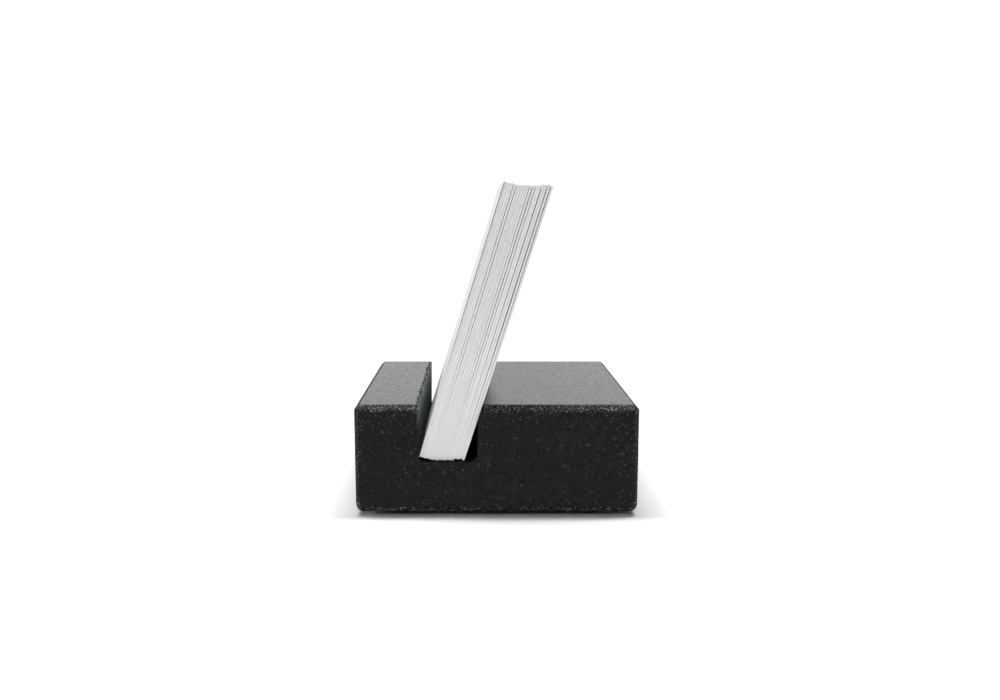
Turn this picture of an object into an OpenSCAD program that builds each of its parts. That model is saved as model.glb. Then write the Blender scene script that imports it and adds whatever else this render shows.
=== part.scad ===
// Desk stand for business cards: a block of dark granite with one slot along it.
// A pack of cards stands in the slot and lies back on a sloping rest cut into its rear edge.
// Millimetres. +X runs from the front lip to the rear body, +Y along the slot and
// +Z up. The origin is on the desk, under the middle of the block.

/* [Block] */
// Width of the top, across the slot
block_w = 50.5; // [48:0.1:58]
// Length, along the slot
block_l = 92; // [91:0.5:110]
// Height of the stone
block_h = 19; // [17:0.1:24]
// Lean of the two long sides, which leaves the underside narrower than the top
side_draft = 1; // [0:0.25:3]
// Width of the bevel round the top and up the four corners
arris = 0.85; // [0.4:0.05:1.2]
// Radius of the two long bottom edges
bottom_r = 1.5; // [0.5:0.1:3]
// Width of the bevel along the two short bottom edges
foot_arris = 0.5; // [0.2:0.1:1.2]

/* [Slot] */
// Thickness of the lip in front of the slot
lip_w = 11.5; // [9:0.1:14]
// Width of the slot at its floor
slot_w = 10.3; // [10.3:0.1:13]
// Depth of the slot
slot_d = 10; // [9:0.1:11]
// Lean of the slot's rear wall, below the rest
rear_wall_lean = 0.5; // [0.5:0.25:3]
// Height of the rest, the sloping top part of the rear wall that the pack lies back on
rest_h = 2.9; // [2.9:0.1:5]
// Lean of the rest
rest_lean = 18.2; // [18.2:0.1:25]
// Width of the bevel along the rest's top edge
rest_arris = 0.3; // [0.2:0.05:1]
// Width of the bevel along the lip's edge over the slot
lip_arris = 0.2; // [0.1:0.05:1.2]
// Radius of the corner along the slot's floor, under the lip
lip_r = 0.9; // [0.6:0.1:1.5]
// Radius of the corner along the slot's floor, on the rear side
rear_r = 1.3; // [0.6:0.1:2]

/* [Pads] */
// Diameter of each self-adhesive pad
pad_d = 10; // [6:0.5:12]
// Thickness of each pad
pad_h = 0.8; // [0.5:0.1:3]
// Distance from a pad's centre to the nearest long side and end
pad_inset = 9; // [7:0.5:11]

/* [Cards] */
// Long side of a card, along the slot
card_l = 88.9; // [85:0.1:90]
// Short side of a card, which stands up
card_h = 50.8; // [50:0.1:55]
// Thickness of a card
card_t = 0.42; // [0.3:0.01:0.42]
// Number of cards in the pack
card_count = 18; // [4:1:18]
// Lean of the front card away from the upright
card_lean = 17.15; // [15:0.05:17.2]
// Air between the faces of neighbouring cards, at the bottom
card_gap = 0.014; // [0.01:0.001:0.02]
// Cards that the pack opens behind, counted from the front
open_behind = [4, 5, 10, 11, 12, 14, 16, 17];
// Extra lean behind each of those cards
opening = [0.08, 0.14, 0.08, 0.16, 0.08, 0.14, 0.25, 0.12];
// Number of cards that the corner under the lip holds up, each lower than the one before
raised_cards = 7; // [1:1:10]
// First and last of the cards that stand higher than the rest
high_cards = [15, 17];
// How much higher they stand
high_by = 0.2; // [0:0.01:0.5]
// Distance from the near end of the block to the near ends of the cards
card_recess = 0.7; // [0.5:0.1:2]
// How uneven the ends of the pack are, up or down and in or out
uneven = 0.08; // [0:0.01:0.3]

/* [Hidden] */
$fn = 64;
SLACK = 0.03;             // air under a card and in front of the first one's foot
PAST = 1;                 // how far a cutting shape runs past the stone
SPREAD = 137.5;           // angle that makes sin(i * SPREAD) look random from card to card
STONE = [0.13, 0.14, 0.145];
BOARD = [0.82, 0.83, 0.82];
PAD = [0.07, 0.07, 0.075];

front_wall = -block_w / 2 + lip_w;
rear_wall = front_wall + slot_w;
floor_z = block_h - slot_d;

pad_x = block_w / 2 - pad_inset;
pad_y = block_l / 2 - pad_inset;
PADS = [
    ["pad_front_left", [-pad_x, -pad_y]],
    ["pad_front_right", [pad_x, -pad_y]],
    ["pad_back_left", [-pad_x, pad_y]],
    ["pad_back_right", [pad_x, pad_y]]
];
CARDS = [for (i = [1 : card_count]) str("card_", i < 10 ? "0" : "", i)];

// Centre of a circle of radius r that touches the level line and a wall that leans
// outwards by lean and meets that line at x
function corner_x(x, lean, r) = x + r * tan(lean) - r / cos(lean);

// Lean of card i, where card 0 is the front one
function lean(i) = card_lean
    + total([for (k = [0 : len(open_behind) - 1]) if (open_behind[k] <= i) opening[k]]);
function total(list) = len(list) == 0 ? 0 : list * [for (v = list) 1];

// Height at which the front card's lower edge rests, close to the wall and to the corner
seat = lip_r - sqrt(lip_r * lip_r - pow(lip_r - SLACK, 2)) + SLACK;

// Where the front face of card i, drawn on downwards, meets the slot's floor
function foot_x(i) = i == 0
    ? front_wall + SLACK - seat * tan(card_lean)
    : foot_x(i - 1) + (card_t + card_gap) / cos(lean(i - 1));

// Height at which a card's edge lands on the rounded corner along the front wall,
// when its face meets the floor at x and leans by a
function landing(x, a) = let (
    u = front_wall + lip_r - x,
    b = lip_r + u * tan(a),
    c = 1 + pow(tan(a), 2)
) u <= 0 ? 0 : (b - sqrt(b * b - c * u * u)) / c;

// Height at which the cards in front of it hold card i
function held(i) = i < raised_cards ? seat * (1 - i / raised_cards) : 0;

// Height of the front lower edge of card i above the slot's floor
function foot_z(i) = let (a = lean(i), back = card_t * sin(a))
    max(landing(foot_x(i), a), landing(foot_x(i) + card_t / cos(a), a) + back, held(i))
    + SLACK
    + (i + 1 >= high_cards[0] && i + 1 <= high_cards[1] ? high_by : 0)
    + uneven / 2 * (1 + sin(i * SPREAD));

// The block's outline seen from its end, without the slot
module block_outline() {
    half = block_w / 2;
    slope = tan(side_draft);
    centre = corner_x(half - block_h * slope, side_draft, bottom_r);
    for (side = [-1, 1])
        translate([side * centre, bottom_r]) circle(bottom_r);
    right = [
        [centre, 0],
        [centre + bottom_r * cos(side_draft), bottom_r * (1 - sin(side_draft))],
        [half - arris * slope, block_h - arris],
        [half - arris, block_h]
    ];
    left = [for (k = [len(right) - 1 : -1 : 0]) [-right[k][0], right[k][1]]];
    polygon(concat(right, left));
}

// The slot's outline seen from the end, running past the top of the stone
module slot_outline() {
    front = front_wall + lip_r;
    rear = corner_x(rear_wall, rear_wall_lean, rear_r);
    rest = rear_wall + (slot_d - rest_h) * tan(rear_wall_lean);
    brow = rest + (rest_h - rest_arris) * tan(rest_lean);
    translate([front, floor_z + lip_r]) circle(lip_r);
    translate([rear, floor_z + rear_r]) circle(rear_r);
    polygon([
        [front, floor_z],
        [rear, floor_z],
        [rear + rear_r * cos(rear_wall_lean), floor_z + rear_r * (1 - sin(rear_wall_lean))],
        [rest, block_h - rest_h],
        [brow, block_h - rest_arris],
        [brow + rest_arris + PAST, block_h + PAST],
        [front_wall - lip_arris - PAST, block_h + PAST],
        [front_wall, block_h - lip_arris],
        [front_wall, floor_z + lip_r]
    ]);
}

// The block seen from its long side, with the bevels over its two ends
module side_outline() {
    half = block_l / 2;
    polygon([
        [-half + foot_arris, 0],
        [half - foot_arris, 0],
        [half, foot_arris],
        [half, block_h - arris],
        [half - arris, block_h],
        [-half + arris, block_h],
        [-half, block_h - arris],
        [-half, foot_arris]
    ]);
}

// The block seen from above, with its four corners bevelled
module plan_outline() {
    x = block_w / 2;
    y = block_l / 2;
    polygon([
        [-x + arris, -y],
        [x - arris, -y],
        [x, -y + arris],
        [x, y - arris],
        [x - arris, y],
        [-x + arris, y],
        [-x, y - arris],
        [-x, -y + arris]
    ]);
}

module granite_block() {
    color(STONE)
        translate([0, 0, pad_h])
            intersection() {
                rotate([90, 0, 0])
                    linear_extrude(height = block_l, center = true)
                        difference() {
                            block_outline();
                            slot_outline();
                        }
                rotate([90, 0, 90])
                    linear_extrude(height = block_w, center = true)
                        side_outline();
                linear_extrude(height = block_h)
                    plan_outline();
            }
}

module pad(place) {
    color(PAD)
        translate([place[0], place[1], 0])
            cylinder(d = pad_d, h = pad_h);
}

module card(i) {
    height = foot_z(i);
    near_end = -block_l / 2 + card_recess + uneven * sin((i + 3) * SPREAD);
    color(BOARD)
        translate([foot_x(i) + height * tan(lean(i)), near_end, pad_h + floor_z + height])
            rotate([0, lean(i), 0])
                cube([card_t, card_l, card_h]);
}

granite_block();
for (p = PADS)
    pad(p[1]);
for (i = [0 : card_count - 1])
    card(i);
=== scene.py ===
"""Looks of a granite desk stand for business cards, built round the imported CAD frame.

The stone is swept along the slot from the CAD block's own outline, with ground arrises and
small chips. Each card is a thin slab with soft cut edges, and each pad a moulded disc.
Lengths in this file are in millimetres, and MM turns them into Blender's metres.
"""

import math

import bmesh
import bpy
import numpy as np
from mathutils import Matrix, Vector, noise
from mathutils.geometry import delaunay_2d_cdt


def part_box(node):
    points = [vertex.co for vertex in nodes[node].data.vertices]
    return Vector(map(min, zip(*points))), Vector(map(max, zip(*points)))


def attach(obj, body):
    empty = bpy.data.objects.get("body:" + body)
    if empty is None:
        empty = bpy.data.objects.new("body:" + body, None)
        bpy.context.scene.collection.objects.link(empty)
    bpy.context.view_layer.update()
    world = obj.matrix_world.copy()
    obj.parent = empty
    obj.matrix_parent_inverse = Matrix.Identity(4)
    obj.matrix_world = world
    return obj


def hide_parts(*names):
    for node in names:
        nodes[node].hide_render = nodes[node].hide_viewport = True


MM = 0.001

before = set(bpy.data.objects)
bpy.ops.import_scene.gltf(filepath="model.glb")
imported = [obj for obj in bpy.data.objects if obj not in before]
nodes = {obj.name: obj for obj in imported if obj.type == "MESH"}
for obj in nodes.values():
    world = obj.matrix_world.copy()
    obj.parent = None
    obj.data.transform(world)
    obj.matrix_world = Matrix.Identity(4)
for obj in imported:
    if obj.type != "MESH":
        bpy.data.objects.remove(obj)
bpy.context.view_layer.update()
CARD_NODES = sorted(name for name in nodes if name.startswith("card_"))
PAD_NODES = sorted(name for name in nodes if name.startswith("pad_"))


# ---------------------------------------------------------------- small helpers
def box_mm(name):
    """Lowest and highest corners of a CAD node, in millimetres."""
    low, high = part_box(name)
    return np.array(low) / MM, np.array(high) / MM


def corners_mm(name):
    """The vertices of a CAD node, in millimetres, each once."""
    points = np.array([v.co for v in nodes[name].data.vertices]) / MM
    return np.unique(points.round(4), axis=0)


def smooth(edge0, edge1, value):
    """0 below edge0, 1 above edge1 and a soft step between."""
    t = np.clip((value - edge0) / (edge1 - edge0), 0, 1)
    return t * t * (3 - 2 * t)


def noise_at(points, size, octaves=3, seed=0.0):
    """Noise between about -1 and 1 at each point, with features of that size."""
    shift = Vector((seed * 17.3, seed * 5.1, seed * 11.7))
    return np.array(
        [noise.fractal(Vector(p) / size + shift, 0.6, 2.0, octaves) for p in points]
    )


def graded(length, fine, coarse, growth):
    """Distances from 0 to length, close together near both ends and wider apart between."""
    half, at = [], 0.0
    while at < length / 2:
        half.append(at)
        at += min(coarse, fine + growth * at)
    if length / 2 - half[-1] < 0.4 * (at - half[-1]) and len(half) > 1:
        half.pop()
    return half + [length / 2] + [length - a for a in reversed(half)]


def make_piece(name, points, faces, material, attributes=None):
    """A mesh object from points in millimetres, with per-vertex attributes."""
    mesh = bpy.data.meshes.new(name)
    mesh.from_pydata((np.asarray(points) * MM).tolist(), [], faces)
    for key, values in (attributes or {}).items():
        layer = mesh.attributes.new(key, "FLOAT", "POINT")
        layer.data.foreach_set("value", np.asarray(values, dtype=np.float32))
    mesh.materials.append(material)
    piece = bpy.data.objects.new(name, mesh)
    bpy.context.scene.collection.objects.link(piece)
    return piece


def tidy_mesh(piece, merge, sharp_angle):
    """Joins coinciding points, turns every face outwards and keeps only real creases sharp."""
    mesh = bmesh.new()
    mesh.from_mesh(piece.data)
    bmesh.ops.remove_doubles(mesh, verts=mesh.verts, dist=merge * MM)
    bmesh.ops.dissolve_degenerate(mesh, edges=mesh.edges, dist=merge * MM)
    bmesh.ops.recalc_face_normals(mesh, faces=mesh.faces)
    mesh.to_mesh(piece.data)
    mesh.free()
    piece.data.polygons.foreach_set("use_smooth", [True] * len(piece.data.polygons))
    piece.data.set_sharp_from_angle(angle=math.radians(sharp_angle))


# ---------------------------------------------------------------- materials
class Material:
    """A Principled material under construction, with short calls to add and join nodes."""

    def __init__(self, name):
        self.material = bpy.data.materials.new(name)
        self.material.use_nodes = True
        self.tree = self.material.node_tree
        self.shader = self.tree.nodes["Principled BSDF"]
        coords = self.tree.nodes.new("ShaderNodeTexCoord")
        self.place = self.vector("SCALE", coords.outputs["Object"], scale=1 / MM)

    def add(self, kind, settings=None, **inputs):
        """A node; an input takes a number, a colour or another node's output."""
        node = self.tree.nodes.new(kind)
        for key, value in (settings or {}).items():
            setattr(node, key, value)
        for key, value in inputs.items():
            self.set(node.inputs[key.replace("_", " ")], value)
        return node

    def set(self, socket, value):
        """Joins another node's output to the socket, or gives the socket its own value."""
        if isinstance(value, bpy.types.NodeSocket):
            self.tree.links.new(value, socket)
        else:
            socket.default_value = value

    def vector(self, operation, first, second=None, scale=None):
        node = self.add("ShaderNodeVectorMath", {"operation": operation})
        self.set(node.inputs[0], first)
        if second is not None:
            self.set(node.inputs[1], second)
        if scale is not None:
            self.set(node.inputs["Scale"], scale)
        return node.outputs["Vector"]

    def math(self, operation, *values):
        node = self.add("ShaderNodeMath", {"operation": operation})
        for socket, value in zip(node.inputs, values):
            self.set(socket, value)
        return node.outputs["Value"]

    def noise(self, size, detail=2.0, roughness=0.5, place=None):
        """Noise from 0 to 1, with features of that size in millimetres."""
        return self.add(
            "ShaderNodeTexNoise",
            Vector=place or self.place,
            Scale=1 / size,
            Detail=detail,
            Roughness=roughness,
        ).outputs["Fac"]

    def cells(self, size, place):
        """Irregular cells of that size, with two random numbers for each one."""
        node = self.add("ShaderNodeTexVoronoi", Vector=place, Scale=1 / size)
        split = self.add("ShaderNodeSeparateColor", Color=node.outputs["Color"])
        return split.outputs["Red"], split.outputs["Green"]

    def ramp(self, value, low, high, to_low=0.0, to_high=1.0):
        """value taken from low..high to to_low..to_high, with a soft start and end."""
        node = self.add(
            "ShaderNodeMapRange",
            {"interpolation_type": "SMOOTHSTEP"},
            Value=value,
            From_Min=low,
            From_Max=high,
            To_Min=to_low,
            To_Max=to_high,
        )
        return node.outputs["Result"]

    def mix(self, factor, first, second):
        """The first colour where factor is 0, and the second where it is 1."""
        node = self.add("ShaderNodeMix", {"data_type": "RGBA"})
        self.set(node.inputs[0], factor)
        self.set(node.inputs[6], first)
        self.set(node.inputs[7], second)
        return node.outputs[2]

    def stretched(self, place, x, y, z):
        """A place scaled along each axis. A scale below 1 draws a pattern out along it."""
        return self.add("ShaderNodeMapping", Vector=place, Scale=(x, y, z)).outputs["Vector"]

    def attribute(self, name):
        """A number that the mesh carries at each of its points."""
        return self.add("ShaderNodeAttribute", {"attribute_name": name}).outputs["Fac"]

    def bump(self, height, distance, strength=1.0, after=None):
        """A bump of that depth in millimetres."""
        node = self.add("ShaderNodeBump", Height=height, Distance=distance * MM, Strength=strength)
        if after is not None:
            self.set(node.inputs["Normal"], after)
        return node.outputs["Normal"]

    def finish(self, **inputs):
        """Sets the shader's inputs and gives the material."""
        for key, value in inputs.items():
            self.set(self.shader.inputs[key.replace("_", " ")], value)
        return self.material


# Linear colours
BLACK_GRAIN = (0.0002, 0.0004, 0.0011, 1)
SLATE_GRAIN = (0.0017, 0.0022, 0.0034, 1)
FINE_GRAIN = (0.0070, 0.0076, 0.0096, 1)
GREY_PATCH = (0.0080, 0.0088, 0.0098, 1)
DULL_FLECK = (0.012, 0.013, 0.014, 1)
PALE_FLECK = (0.036, 0.038, 0.040, 1)
# Painted glints: specks that stand in for crystals catching the light
DULL_GLINT = (0.04, 0.043, 0.042, 1)
BRIGHT_GLINT = (0.38, 0.40, 0.39, 1)
# The top face's grey and crystals: partly its finish, partly painted reflection
HONED_AND_REFLECTION_GREY = (0.0150, 0.0175, 0.0160, 1)
HONED_AND_REFLECTION_CRYSTAL = (0.084, 0.100, 0.086, 1)
SLOT_WALL = (0.0010, 0.0032, 0.0046, 1)
# Painted light on the top of the wall under the lip
PAINTED_WALL_LIGHT = (0.170, 0.215, 0.205, 1)
CARD_WHITE = (0.89, 0.90, 0.895)
RUBBER_DARK = (0.010, 0.010, 0.010, 1)
RUBBER_PALE = (0.030, 0.030, 0.0309, 1)


def granite_material():
    """Fine dark granite: black and blue-grey grains, small pale flecks, painted glints and
    ground arrises. "edge" is 1 on an arris and "bruise" 1 near one. "honed" is 1 on the top
    face, which is greyer, partly from its finish and partly as painted reflection. "sawn" is 1
    inside the slot, which is rougher, and "brim" is 1 at the top of the slot's wall under the
    lip, which is painted paler as painted light that fades downwards."""
    m = Material("granite")
    edge = m.attribute("edge")
    bruise = m.attribute("bruise")
    sawn = m.attribute("sawn")
    honed_and_reflection = m.math("MULTIPLY", m.attribute("honed_and_reflection"), m.math("SUBTRACT", 1.0, edge))
    wander = m.add("ShaderNodeTexNoise", Vector=m.place, Scale=1 / 0.9, Detail=2.0)
    bent = m.vector("ADD", m.place, m.vector("SCALE", wander.outputs["Color"], scale=0.7))
    fine = m.cells(0.32, bent)
    spark = m.cells(0.14, bent)
    cloud = m.noise(3.5, 3.0, 0.6)

    colour = dark_grains(m, bent, fine, cloud)
    colour = pale_flecks(m, colour, fine, cloud, edge, bruise)
    colour = painted_glints(m, colour, spark, cloud, edge, bruise)
    crystals = honed_crystals_and_reflection(m, bent, cloud, honed_and_reflection)
    # The top face painted greyer, with paler crystals: partly its finish, partly painted reflection of the
    # bright surroundings
    colour = m.mix(m.math("MULTIPLY", honed_and_reflection, 0.75), colour, HONED_AND_REFLECTION_GREY)
    colour = m.mix(crystals, colour, HONED_AND_REFLECTION_CRYSTAL)
    colour = m.mix(m.math("MULTIPLY", sawn, 0.7), colour, SLOT_WALL)
    # Painted light: the top of the wall under the lip painted paler, fading downwards
    colour = m.mix(painted_wall_light(m), colour, PAINTED_WALL_LIGHT)

    rough = m.math("ADD", m.math("MULTIPLY", fine[0], 0.08), 0.14)
    for where, rougher in ((crystals, -0.07), (edge, 0.3), (sawn, 0.42)):
        rough = m.math("ADD", rough, m.math("MULTIPLY", where, rougher))
    worn = m.math("MAXIMUM", edge, sawn)
    skin = m.bump(m.noise(0.45, 4.0, 0.6), 0.014)
    pits = m.bump(m.math("MULTIPLY", spark[0], edge), 0.08, 1.0, skin)
    ground = m.bump(m.math("MULTIPLY", m.noise(0.28, 3.0, 0.7), worn), 0.07, 1.0, pits)
    return m.finish(Base_Color=colour, Roughness=rough, Normal=ground, IOR=1.23)


def dark_grains(m, bent, fine, cloud):
    """The stone's dark ground: coarse grains, finer ones over them and cloudy grey patches."""
    grain, tint = m.cells(0.9, bent)
    dark = m.mix(m.ramp(grain, 0.1, 0.9), BLACK_GRAIN, SLATE_GRAIN)
    dark = m.mix(m.ramp(fine[1], 0.35, 1.0), dark, FINE_GRAIN)
    patch = m.math("MULTIPLY", m.ramp(tint, 0.55, 0.95), m.ramp(cloud, 0.40, 0.65))
    return m.mix(patch, dark, GREY_PATCH)


def pale_flecks(m, colour, fine, cloud, edge, bruise):
    """Fine grains of pale mineral, few on a face and many on an arris."""
    share = m.ramp(cloud, 0.38, 0.72, 0.004, 0.05)
    share = m.math("MAXIMUM", share, m.math("MULTIPLY", bruise, 0.08))
    share = m.math("MAXIMUM", share, m.math("MULTIPLY", edge, 0.3))
    fleck = m.math("GREATER_THAN", fine[0], m.math("SUBTRACT", 1.0, share))
    return m.mix(fleck, colour, m.mix(fine[1], DULL_FLECK, PALE_FLECK))


def painted_glints(m, colour, spark, cloud, edge, bruise):
    """Painted glints: bright specks in the colour standing in for tiny crystals that catch the
    light, rare on a face and brighter on an arris.
    """
    share = m.math("ADD", m.ramp(cloud, 0.45, 0.75, 0.0, 0.006), m.math("MULTIPLY", bruise, 0.006))
    share = m.math("ADD", share, m.math("MULTIPLY", edge, 0.16))
    glint = m.math("GREATER_THAN", spark[0], m.math("SUBTRACT", 1.0, share))
    bright = m.math("MULTIPLY", spark[1], m.math("MULTIPLY_ADD", edge, 0.75, 0.25))
    return m.mix(glint, colour, m.mix(bright, DULL_GLINT, BRIGHT_GLINT))


def honed_crystals_and_reflection(m, bent, cloud, honed_and_reflection):
    """How far each crystal of the top face is painted paler than the ground between them, partly
    for its finish and partly as painted reflection.
    """
    crystal, _ = m.cells(0.42, m.stretched(bent, 1.0, 0.55, 1.0))
    pale = m.math("MULTIPLY", m.ramp(crystal, 0.2, 1.0), m.ramp(cloud, 0.35, 0.65, 0.7, 1.0))
    return m.math("MULTIPLY", pale, honed_and_reflection)


def painted_wall_light(m):
    """Painted light: pale streaks at the top of the wall under the lip, fading downwards."""
    marks = m.noise(0.4, 3.0, 0.65, m.stretched(m.place, 1.0, 0.5, 0.4))
    return m.math("MULTIPLY", m.ramp(marks, 0.38, 0.62, 0.1, 1.0), m.attribute("painted_brim_light"))


def board_material():
    """White uncoated card: smooth faces with a faint fibre grain, and rougher, greyer cut
    ends. "cut" is 1 on a cut edge. "rim" is painted shade on the cut end along the gaps between
    cards and along the pack's front. "tone" is the card's own random tone, times painted shade
    that darkens the pack's cut end towards the top."""
    m = Material("board")
    cut = m.attribute("cut")
    fibre = m.noise(0.35, 4.0, 0.65, m.stretched(m.place, 3.2, 0.35, 0.25))
    mottle = m.noise(2.5, 3.0)
    level = m.math("ADD", m.ramp(mottle, 0.3, 0.7, 0.975, 1.0), m.math("MULTIPLY", cut, -0.07))
    # The card's own tone, with painted shade towards the top of the pack's cut end
    level = m.math("MULTIPLY", level, m.attribute("tone_and_top_shade"))
    level = m.math("MULTIPLY", level, m.ramp(m.math("MULTIPLY", fibre, cut), 0.25, 0.75, 1.0, 0.95))
    # Painted shade along the gaps between cards and along the pack's front
    level = m.math("MULTIPLY", level, m.math("SUBTRACT", 1.0, m.attribute("painted_gap_shade")))
    colour = m.vector("SCALE", CARD_WHITE, scale=level)
    pulp = m.bump(m.noise(0.12, 3.0, 0.7), 0.006)
    torn = m.bump(m.math("MULTIPLY", fibre, cut), 0.03, 1.0, pulp)
    return m.finish(Base_Color=colour, Roughness=0.62, Normal=torn, IOR=1.45)


def rubber_material():
    """Matte black rubber with a fine moulded grain."""
    m = Material("rubber")
    pores = m.noise(0.35, 4.0, 0.7)
    colour = m.mix(pores, RUBBER_DARK, RUBBER_PALE)
    return m.finish(Base_Color=colour, Roughness=0.78, Normal=m.bump(pores, 0.03), IOR=1.5)


# ---------------------------------------------------------------- granite block
CREASE = 20.0          # turn, in degrees, that makes an outline point an arris
STEP_FINE = 0.17       # spacing of points on an arris
STEP_COARSE = 0.45     # and on a face
RING_FINE = 0.11       # spacing of the swept outlines at the ends
RING_COARSE = 0.42     # and between them
STEP_GROWTH = 0.12     # how fast a spacing widens with the distance from an arris or an end
CAP_STEP = 0.5         # spacing of points on an end face
MOUTH_ARRIS = 0.12     # width of the worn edge round the slot's two open ends
NARROW = 1.8           # a face narrower than this is an arris all over
WEAR_REACH = 0.16      # how far an arris's roughness runs in from it
LIP_REACH = 0.55       # and along the lip's edge over the slot
BRUISE_REACH = 5.0     # how far an arris's bruised, paler grains run in
PAINTED_LIGHT_DEPTH = 4.5      # how far the painted light at the top of the lip's wall runs down
SOFT_WEAR = 0.25       # how worn the upright corners and the slot are beside the other arrises
GROUND_DEPTH = 0.02    # unevenness of a ground arris
GROOVES = 12           # grooves worn into the lip's edge over the slot
GROOVE_FIRST = 10.0    # from the near end to the first one
GROOVE_STEP = 7.0      # and from each one to the next
GROOVE_STRAY = 3.2     # how far each may lie from its place
GROOVE_INSET = 0.3     # from the wall's plane in to their middle
LONG_CHIPS = 26        # small chips along each long arris
END_CHIPS = 16         # and along each end arris
WEAR_AND_LIGHT_KINDS = ("edge", "bruise", "honed_and_reflection", "sawn", "painted_brim_light")


def cut_outline(name, y):
    """The closed outline of a CAD node cut across at y, as (x, z) points in order round it."""
    mesh = bmesh.new()
    mesh.from_mesh(nodes[name].data)
    bmesh.ops.remove_doubles(mesh, verts=mesh.verts, dist=0.001 * MM)
    everything = mesh.verts[:] + mesh.edges[:] + mesh.faces[:]
    cut = bmesh.ops.bisect_plane(
        mesh, geom=everything, dist=0.0001 * MM, plane_co=(0, y * MM, 0), plane_no=(0, 1, 0),
        clear_inner=True, clear_outer=True,
    )
    edges = [e for e in cut["geom_cut"] if isinstance(e, bmesh.types.BMEdge)]
    start = here = edges[0].verts[0]
    edge, loop = edges[0], []
    while True:
        loop.append((here.co.x / MM, here.co.z / MM))
        here = edge.other_vert(here)
        if here is start:
            break
        edge = next(e for e in here.link_edges if e is not edge and e in edges)
    mesh.free()
    points = np.array(loop)
    if turns(points).sum() < 0:
        points = points[::-1]
    return points[np.abs(turns(points)) > 0.2]


def turns(points):
    """Turn of a closed outline at each of its points, in degrees."""
    before = points - np.roll(points, 1, axis=0)
    after = np.roll(points, -1, axis=0) - points
    cross = before[:, 0] * after[:, 1] - before[:, 1] * after[:, 0]
    return np.degrees(np.arctan2(cross, (before * after).sum(axis=1)))


def respaced_outline(points):
    """The outline with close points near its arrises. Gives the points, the way into the
    stone at each one, and its distance along the outline to the nearest arris."""
    sharp = [int(i) for i in np.flatnonzero(np.abs(turns(points)) > CREASE)]
    points = np.roll(points, -sharp[0], axis=0)
    sharp = [i - sharp[0] for i in sharp] + [len(points)]
    closed = np.vstack([points, points[:1]])
    places, inwards, reach = [], [], []
    for first, last in zip(sharp, sharp[1:]):
        run = closed[first : last + 1]
        lengths = np.concatenate([[0], np.cumsum(np.linalg.norm(np.diff(run, axis=0), axis=1))])
        at = np.array(graded(lengths[-1], STEP_FINE, STEP_COARSE, STEP_GROWTH))[:-1]
        spots = np.stack([np.interp(at, lengths, run[:, k]) for k in (0, 1)], axis=1)
        ahead = np.stack([np.interp(at + 0.01, lengths, run[:, k]) for k in (0, 1)], axis=1)
        along = (ahead - spots) / np.linalg.norm(ahead - spots, axis=1)[:, None]
        places.append(spots)
        inwards.append(np.stack([-along[:, 1], along[:, 0]], axis=1))
        narrow = lengths[-1] < NARROW
        reach.append(np.zeros(len(at)) if narrow else np.minimum(at, lengths[-1] - at))
    return np.vstack(places), np.vstack(inwards), np.concatenate(reach)


def cap_points(outline):
    """Points inside the end face, spaced to carry the wear in from its border, and how far
    each is from that border."""
    low, high = outline.min(axis=0), outline.max(axis=0)
    xs = np.arange(low[0], high[0], CAP_STEP)
    zs = np.arange(low[1], high[1], CAP_STEP)
    grid = np.array([(x + CAP_STEP / 2 * (k % 2), z) for k, z in enumerate(zs) for x in xs])
    gap = np.full(len(grid), np.inf)
    inside = np.zeros(len(grid), dtype=bool)
    for a, b in zip(outline, np.roll(outline, -1, axis=0)):
        side = b - a
        t = np.clip(((grid - a) @ side) / max(side @ side, 1e-12), 0, 1)
        gap = np.minimum(gap, np.linalg.norm(grid - (a + t[:, None] * side), axis=1))
        crosses = (a[1] > grid[:, 1]) != (b[1] > grid[:, 1])
        with np.errstate(divide="ignore", invalid="ignore"):
            x = a[0] + (grid[:, 1] - a[1]) * (b[0] - a[0]) / (b[1] - a[1])
        inside ^= crosses & (grid[:, 0] < x)
    keep = inside & (gap > 0.2)
    return grid[keep], gap[keep]


def chip_list(low, high, lip, brow):
    """Chips on the arrises: centre, half sizes along x, y and z, and depth."""
    rng = np.random.default_rng(7)
    top, chips = high[2], []
    for k in range(GROOVES):
        y = low[1] + GROOVE_FIRST + GROOVE_STEP * k + rng.uniform(-GROOVE_STRAY, GROOVE_STRAY)
        size = rng.uniform(0.45, 1.3)
        chips.append(((lip - GROOVE_INSET, y, top), (0.4 * size, 1.7 * size, 0.7 * size), 0.32 * size))
    for x in (low[0], high[0], brow, lip, lip):
        for _ in range(LONG_CHIPS):
            size = rng.uniform(0.25, 0.6) ** 1.2
            y = rng.uniform(low[1], high[1])
            chips.append(((x, y, top), (size, 1.6 * size, size), 0.3 * size))
    for y in (low[1], high[1]):
        for z in (top, top, low[2]):
            for _ in range(END_CHIPS):
                size = rng.uniform(0.2, 0.5) ** 1.2
                x = rng.uniform(low[0], high[0])
                chips.append(((x, y, z), (1.6 * size, size, size), 0.3 * size))
    return chips


def end_insets(low, high):
    """How far the bevels set the block's end face in from its sides, its top and its foot."""
    points = corners_mm("granite_block")
    face = points[points[:, 1] < low[1] + 0.01]
    return high[0] - face[:, 0].max(), high[2] - face[:, 2].max(), face[:, 2].min() - low[2]


def slot_places(outline, reach, low, high):
    """Which outline points are on the slot's walls or floor, and the x of its front wall,
    under the lip, and of the brow over the rest."""
    in_slot = (np.abs(outline[:, 0]) < 0.9 * high[0]) & (outline[:, 1] > low[2] + 2)
    in_slot &= outline[:, 1] < high[2] - 0.05
    walls = outline[in_slot & (reach > 0)]
    return in_slot, walls[:, 0].min(), walls[:, 0].max()


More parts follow.
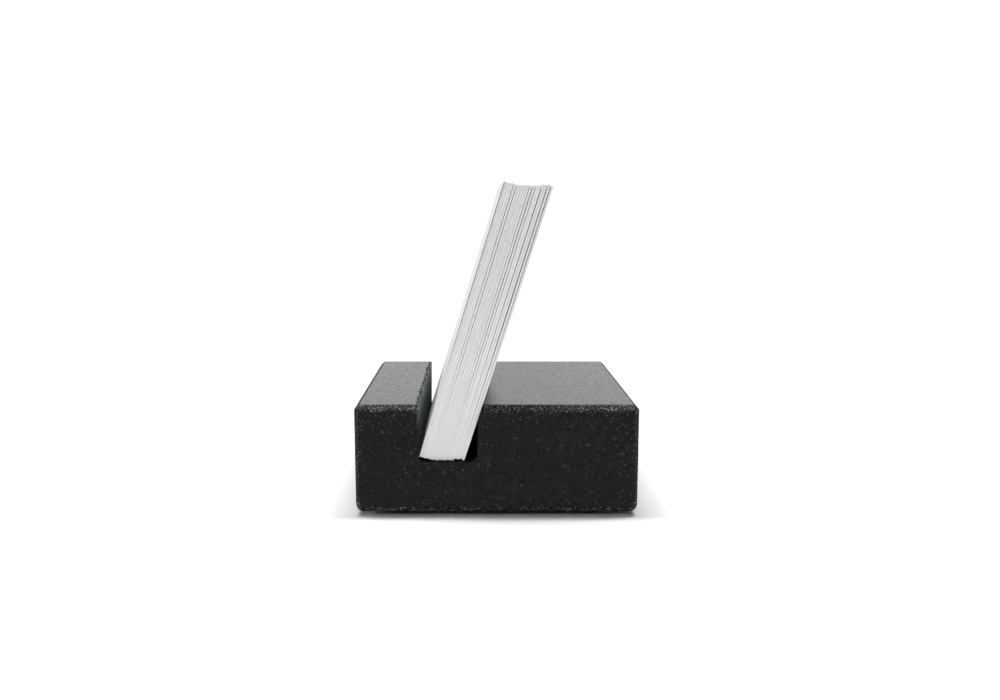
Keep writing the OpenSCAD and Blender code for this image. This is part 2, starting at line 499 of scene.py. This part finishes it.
def end_face(ring):
    """Fills an end of the block with triangles. Gives the points inside it, how far each is
    from the border, and the triangles, which count the inside points on after the ring's."""
    loop = ring[:, [0, 2]]
    _, first = np.unique(loop.round(3), axis=0, return_index=True)
    order = sorted(int(i) for i in first)
    inner, gap = cap_points(loop[order])
    flat = [Vector(p) for p in np.vstack([loop[order], inner])]
    found = delaunay_2d_cdt(flat, [], [list(range(len(order)))], 1, 1e-6)
    owner = [min(ids) for ids in found[3]]
    number = [order[i] if i < len(order) else len(ring) + i - len(order) for i in owner]
    inside = np.column_stack([inner[:, 0], np.full(len(inner), ring[0, 1]), inner[:, 1]])
    return inside, gap, [[number[v] for v in triangle] for triangle in found[2]]


def build_granite(material):
    """The block, swept along the slot from its CAD outline and closed with two end faces.
    Its points carry the kinds of wear that the material reads, and where it paints light and
    reflection."""
    low, high = box_mm("granite_block")
    length = high[1] - low[1]
    side_inset, top_inset, foot_inset = end_insets(low, high)
    outline, inward, reach = respaced_outline(cut_outline("granite_block", 0.0))
    in_slot, lip, brow = slot_places(outline, reach, low, high)
    by_lip = (np.abs(outline[:, 0] - lip) < 2) & (outline[:, 1] > high[2] - 2)
    wear_reach = np.where(by_lip, LIP_REACH, WEAR_REACH)
    under_lip = in_slot & (outline[:, 0] < (lip + brow) / 2)
    # Painted light on the top of the wall under the lip, fading downwards
    wall_light_fade = under_lip * (1 - smooth(0.2, PAINTED_LIGHT_DEPTH, high[2] - outline[:, 1]))
    end_bevel = np.where(outline[:, 1] < low[2] + 1, foot_inset, top_inset)
    end_bevel = np.where(in_slot, MOUTH_ARRIS, end_bevel)

    rings = []
    wear = {kind: [] for kind in WEAR_AND_LIGHT_KINDS}
    for depth in graded(length, RING_FINE, RING_COARSE, STEP_GROWTH):
        d = min(depth, length - depth)
        ring = outline + inward * (in_slot * max(0.0, MOUTH_ARRIS - d))[:, None]
        side = high[0] - max(0.0, side_inset - d)
        foot, top = low[2] + max(0.0, foot_inset - d), high[2] - max(0.0, top_inset - d)
        x, z = np.clip(ring[:, 0], -side, side), np.clip(ring[:, 1], foot, top)
        rings.append(np.column_stack([x, np.full(len(ring), low[1] + depth), z]))
        near = np.minimum(reach, np.maximum(0, d - end_bevel))
        wear["edge"].append(1 - smooth(0.0, wear_reach, near))
        wear["bruise"].append(1 - smooth(0.0, BRUISE_REACH, near))
        wear["honed_and_reflection"].append((z > high[2] - 0.01).astype(float))
        wear["sawn"].append(in_slot.astype(float))
        wear["painted_brim_light"].append(wall_light_fade)
    count = len(outline)
    points = np.vstack(rings)
    wear = {kind: np.concatenate(values) for kind, values in wear.items()}
    faces = []
    for j in range(len(rings) - 1):
        for i in range(count):
            k = (i + 1) % count
            faces.append((j * count + i, j * count + k, (j + 1) * count + k, (j + 1) * count + i))
    for j in (0, len(rings) - 1):
        inside, gap, triangles = end_face(rings[j])
        number = [j * count + i for i in range(count)] + [len(points) + i for i in range(len(inside))]
        faces += [tuple(number[v] for v in triangle) for triangle in triangles]
        points = np.vstack([points, inside])
        here = {kind: np.zeros(len(inside)) for kind in WEAR_AND_LIGHT_KINDS}
        here["edge"] = 1 - smooth(0.0, WEAR_REACH, gap)
        here["bruise"] = 1 - smooth(0.0, BRUISE_REACH, gap)
        wear = {kind: np.concatenate([wear[kind], here[kind]]) for kind in WEAR_AND_LIGHT_KINDS}

    # The upright corners and the slot, but for the top of the wall under the lip where light is
    # painted, are worn less, and the foot is bruised less
    deep = points[:, 2] < high[2] - 1.0
    upright = deep & (np.abs(points[:, 0]) > high[0] - 1.5) & (points[:, 2] > low[2] + 2.5)
    mouth = deep & (wear["sawn"] > 0) & (wear["painted_brim_light"] < 0.05)
    wear["edge"] *= np.where(upright | mouth, SOFT_WEAR, 1.0)
    wear["bruise"] *= 0.45 + 0.75 * smooth(low[2] + 4, high[2], points[:, 2])
    stone = make_piece("granite_stone", points, faces, material, wear)
    tidy_mesh(stone, 0.002, 60)
    rough_up(stone.data, chip_list(low, high, lip, brow))
    stone.data.set_sharp_from_angle(angle=math.radians(60))
    return stone


def rough_up(mesh, chips):
    """Sinks the arrises a little into the stone, unevenly, and cuts the chips."""
    count = len(mesh.vertices)
    places, normals, worn = np.empty(count * 3), np.empty(count * 3), np.empty(count)
    mesh.vertices.foreach_get("co", places)
    mesh.vertex_normals.foreach_get("vector", normals)
    mesh.attributes["edge"].data.foreach_get("value", worn)
    places, normals = places.reshape(-1, 3) / MM, normals.reshape(-1, 3)
    sink = np.zeros(count)
    near = np.flatnonzero(worn > 0.3)
    grain = noise_at(places[near], 0.45, 3, 1.0)
    sink[near] = GROUND_DEPTH * worn[near] * np.clip(0.5 + grain, 0, 1.4)
    for centre, half, depth in chips:
        offset = (places - centre) / half
        q = (offset**2).sum(axis=1)
        hit = np.flatnonzero(q < 1)
        facet = 1 + 0.5 * noise_at(places[hit], 0.5, 2, 4.0)
        sink[hit] = np.maximum(sink[hit], depth * np.sqrt(1 - q[hit]) * facet)
    places -= normals * sink[:, None]
    mesh.vertices.foreach_set("co", (places * MM).ravel())
    mesh.update()


# ---------------------------------------------------------------- cards
CUT_ROUND = 0.015      # softness of a card's cut edges
CARD_SLIM = 0.001      # taken off each face, so that neighbours never touch
CARD_BOW = 0.02        # how far each card bellies towards the front, half way up
FRAY = 0.02            # unevenness of a cut edge
TOP_SHADE = 0.10       # painted shade: how much darker the top of the pack's cut end is painted
# These two list some of the pack's gaps by the card behind each, counted from 0 at the front
GAP_SHADE = {0: 0.95, 16: 0.4}           # painted shade: how dark the cut end is painted along the gap
SETTLE = {5: 0.04, 11: 0.03, 16: 0.12}   # how far the gap closes again at the top
SHADE_WIDTH = 0.08     # width of the painted shade along a gap
FRONT_SHADE = 0.26     # and along the front of the pack


def slab_faces(us, ys, vs):
    """The surface of a box as grids over its six sides. Gives each point as its numbers in
    us, ys and vs, and the quads between the points."""
    points, faces, index = [], [], {}

    def spot(i, j, k):
        if (i, j, k) not in index:
            index[i, j, k] = len(points)
            points.append((i, j, k))
        return index[i, j, k]

    nu, ny, nv = len(us) - 1, len(ys) - 1, len(vs) - 1
    for k in (0, nv):
        faces += [
            (spot(i, j, k), spot(i + 1, j, k), spot(i + 1, j + 1, k), spot(i, j + 1, k))
            for i in range(nu) for j in range(ny)
        ]
    for j in (0, ny):
        faces += [
            (spot(i, j, k), spot(i + 1, j, k), spot(i + 1, j, k + 1), spot(i, j, k + 1))
            for i in range(nu) for k in range(nv)
        ]
    for i in (0, nu):
        faces += [
            (spot(i, j, k), spot(i, j + 1, k), spot(i, j + 1, k + 1), spot(i, j, k + 1))
            for j in range(ny) for k in range(nv)
        ]
    return np.array(points), faces


def card_axes(name):
    """A CAD card's near end: its lower front corner, and the edges that run up and across
    from there. Gives the card's length too."""
    solid = corners_mm(name)
    foot = solid[np.argmin(solid[:, 0])]
    near_y, far_y = solid[:, 1].min(), solid[:, 1].max()
    near = solid[np.abs(solid[:, 1] - near_y) < 0.01]
    origin = np.array([foot[0], near_y, foot[2]])
    up = near[np.argmax(near[:, 2])] - origin
    across = near[np.argmin(near[:, 2])] - origin
    return origin, up, across, far_y - near_y


def build_card(name, rank, material):
    """One card as a slab in the CAD card's place, with soft cut edges."""
    origin, up, across, length = card_axes(name)
    height, thick = np.linalg.norm(up), np.linalg.norm(across)
    up, across = up / height, across / thick

    r = CUT_ROUND
    shade = SHADE_WIDTH if rank else FRONT_SHADE
    us = np.array([0, r, shade, thick - shade, thick - r, thick])
    ys = np.concatenate([[0], r + np.array(graded(length - 2 * r, 0.6, 6.0, 0.5)), [length]])
    vs = np.concatenate([[0], r + np.array(graded(height - 2 * r, 0.35, 0.9, 0.2)), [height]])
    index, faces = slab_faces(us, ys, vs)
    u, y, v = us[index[:, 0]], ys[index[:, 1]], vs[index[:, 2]]
    low_side = [index[:, k] == 0 for k in range(3)]
    high_side = [index[:, k] == len(s) - 1 for k, s in enumerate((us, ys, vs))]
    outward = [b.astype(float) - a for a, b in zip(low_side, high_side)]
    # The box's edges and corners are drawn in, which rounds them
    border = sum(a.astype(int) + b.astype(int) for a, b in zip(low_side, high_side))
    pull = np.where(border == 2, 0.3, np.where(border == 3, 0.42, 0.0)) * r
    u, y, v = (place - pull * way for place, way in zip((u, y, v), outward))
    u = CARD_SLIM + u * (1 - 2 * CARD_SLIM / thick)

    rise = v / height
    u -= CARD_BOW * np.sin(math.pi * rise)
    u -= sum(gap for k, gap in SETTLE.items() if k <= rank) * smooth(0.45, 1.0, rise)
    places = origin + np.outer(u, across) + np.outer(v, up)
    places[:, 1] += y
    cut = (low_side[1] | high_side[1] | low_side[2] | high_side[2]).astype(float)
    frayed = np.flatnonzero(cut)
    ragged = noise_at(places[frayed] + rank * 3.7, 0.5, 3, 2.0)
    fray = FRAY * np.clip(0.5 + ragged, 0, 1.5)
    places[frayed, 1] -= fray * outward[1][frayed]
    places[frayed] -= np.outer(fray * outward[2][frayed], up)

    # Painted shade: the cut end is darkened along the gaps in front of and behind the card, and along the
    # pack's front, more so higher up where the gaps open
    end = low_side[1] | high_side[1]
    front, back = GAP_SHADE.get(rank, 0.0), GAP_SHADE.get(rank + 1, 0.0)
    painted_gap_shade = end * ((index[:, 0] <= 1) * front + (index[:, 0] >= len(us) - 2) * back)
    painted_gap_shade *= smooth(0.1, 0.6, rise)
    # A random tone for each card, times painted shade that darkens the pack's cut end towards its top
    rng = np.random.default_rng(100 + rank)
    tone_and_top_shade = (1 - 0.04 * rng.random()) * (1 - TOP_SHADE * smooth(0.1, 0.9, rise))
    looks = {"cut": cut, "painted_gap_shade": painted_gap_shade, "tone_and_top_shade": tone_and_top_shade}
    piece = make_piece(name.replace("card_", "card_sheet_"), places, faces, material, looks)
    tidy_mesh(piece, 0.0005, 50)
    return piece


# ---------------------------------------------------------------- pads
PAD_ROUND = 0.16       # rounding of a pad's two rims
PAD_BULGE = 0.03       # how far the squeezed side curves in at the rims
PAD_STEPS = 72         # points round a pad


def build_pad(name, material):
    """A stick-on rubber disc, turned from its half outline."""
    low, high = box_mm(name)
    centre, radius, height = (low + high) / 2, (high[0] - low[0]) / 2, high[2] - low[2]
    outline = [(radius * k / 5, 0.0) for k in range(5)]
    for k in range(5):
        a = math.radians(22.5 * k)
        outline.append((radius - PAD_BULGE - PAD_ROUND * (1 - math.sin(a)), PAD_ROUND * (1 - math.cos(a))))
    outline.append((radius, height / 2))
    outline += [(r, height - z) for r, z in reversed(outline[:-1])]
    points, faces = [], []
    for r, z in outline:
        for k in range(PAD_STEPS):
            a = 2 * math.pi * k / PAD_STEPS
            points.append((centre[0] + r * math.cos(a), centre[1] + r * math.sin(a), low[2] + z))
    for here in range(0, (len(outline) - 1) * PAD_STEPS, PAD_STEPS):
        above = here + PAD_STEPS
        for k in range(PAD_STEPS):
            n = (k + 1) % PAD_STEPS
            faces.append((here + k, here + n, above + n, above + k))
    piece = make_piece(name.replace("pad_", "rubber_pad_"), points, faces, material)
    tidy_mesh(piece, 0.001, 50)
    return piece


# ---------------------------------------------------------------- camera, light and floor
CAMERA_LENS = 65.6     # on a sensor 36 mm wide
CAMERA_SIDE = -3.3     # the camera's place, from the block's middle plane,
CAMERA_BACK = 319.5    # from its near end
CAMERA_RISE = 53.9     # and from its underside
CAMERA_DROP = 4.5      # how far the camera looks down, in degrees
CAMERA_SHIFT = 0.022   # part of the frame's width that the view is shifted sideways
FLOOR_HALF = 6000.0    # half the floor's width
FLOOR_WHITE = (0.86, 0.86, 0.86, 1.0)
HORIZON = 0.64         # brightness of the surroundings near the horizon,
CEILING = 0.05         # overhead
BACKDROP = 1.1         # and as the camera sees them
KEY_POWER = 3.6        # of the whole strip of lights overhead
KEY_SPREAD = (-14, 0, 14)   # tilts of its lights to the left and right, in degrees
KEY_BACK = 10.0        # its tilt towards the far side
KEY_WIDTH = 16.0       # how wide each of its lights looks
FILL_POWER = 0.8       # of the low soft light in front
SIDE_POWER = 0.6       # and of the one on the left
FILL_RISE = 22.0       # how far both stand above the floor, in degrees
FILL_WIDTH = 14.0      # and how wide they look


def make_camera():
    """A long lens a third of a metre before the near end, a little lower than the card tops."""
    low, _ = box_mm("granite_block")
    data = bpy.data.cameras.new("camera")
    data.lens = CAMERA_LENS
    data.sensor_width = 36.0
    data.shift_x = CAMERA_SHIFT
    data.clip_start = 0.01
    data.clip_end = 50.0
    camera = bpy.data.objects.new("camera", data)
    bpy.context.scene.collection.objects.link(camera)
    camera.location = Vector((CAMERA_SIDE, low[1] - CAMERA_BACK, low[2] + CAMERA_RISE)) * MM
    camera.rotation_euler = (math.radians(90.0 - CAMERA_DROP), 0.0, 0.0)
    bpy.context.scene.camera = camera


def make_floor():
    """A plain white table top."""
    half = FLOOR_HALF * MM
    corners = [(-half, -half, 0), (half, -half, 0), (half, half, 0), (-half, half, 0)]
    mesh = bpy.data.meshes.new("floor")
    mesh.from_pydata(corners, [], [(0, 1, 2, 3)])
    floor = bpy.data.objects.new("floor", mesh)
    bpy.context.scene.collection.objects.link(floor)
    material = bpy.data.materials.new("floor_white")
    material.use_nodes = True
    shader = material.node_tree.nodes["Principled BSDF"]
    shader.inputs["Base Color"].default_value = FLOOR_WHITE
    shader.inputs["Roughness"].default_value = 0.9
    shader.inputs["Specular IOR Level"].default_value = 0.1
    mesh.materials.append(material)


def make_light():
    """Pale surroundings that darken upwards, a strip of light overhead and a faint low fill."""
    world = bpy.data.worlds.new("studio")
    bpy.context.scene.world = world
    world.use_nodes = True
    tree = world.node_tree

    def new(kind, **values):
        """A node with its inputs' values."""
        node = tree.nodes.new(kind)
        for key, value in values.items():
            node.inputs[key.replace("_", " ")].default_value = value
        return node

    coords = new("ShaderNodeTexCoord")
    split = new("ShaderNodeSeparateXYZ")
    height = new("ShaderNodeMapRange", From_Min=0.1, From_Max=0.5, To_Min=HORIZON, To_Max=CEILING)
    height.interpolation_type = "SMOOTHSTEP"
    path = new("ShaderNodeLightPath")
    level = new("ShaderNodeMapRange", To_Max=BACKDROP)
    tree.links.new(coords.outputs["Generated"], split.inputs["Vector"])
    tree.links.new(split.outputs["Z"], height.inputs["Value"])
    tree.links.new(path.outputs["Is Camera Ray"], level.inputs["Value"])
    tree.links.new(height.outputs["Result"], level.inputs["To Min"])
    background = tree.nodes["Background"]
    background.inputs["Color"].default_value = (1.0, 1.0, 1.0, 1.0)
    tree.links.new(level.outputs["Result"], background.inputs["Strength"])

    for side in KEY_SPREAD:
        way = (math.tan(math.radians(side)), -math.tan(math.radians(KEY_BACK)), -1.0)
        add_sun("key", way, KEY_POWER / len(KEY_SPREAD), KEY_WIDTH)
    drop = -math.tan(math.radians(FILL_RISE))
    add_sun("front_fill", (0.0, 1.0, drop), FILL_POWER, FILL_WIDTH)
    add_sun("side_fill", (1.0, 0.0, drop), SIDE_POWER, FILL_WIDTH)


def add_sun(name, way, power, width):
    """A far-off soft light that shines along way and looks width degrees wide."""
    data = bpy.data.lights.new(name, "SUN")
    data.energy = power
    data.angle = math.radians(width)
    light = bpy.data.objects.new(name, data)
    bpy.context.scene.collection.objects.link(light)
    light.rotation_euler = Vector(way).to_track_quat("-Z", "Y").to_euler()


make_camera()
make_floor()
make_light()
bpy.context.scene.view_settings.view_transform = "Standard"

stone = build_granite(granite_material())
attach(stone, "block")
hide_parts("granite_block")

rubber = rubber_material()
for pad_node in PAD_NODES:
    pad = build_pad(pad_node, rubber)
    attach(pad, "block")
    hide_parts(pad_node)

board = board_material()
for number, card_node in enumerate(CARD_NODES):
    card = build_card(card_node, number, board)
    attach(card, card_node)
    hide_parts(card_node)
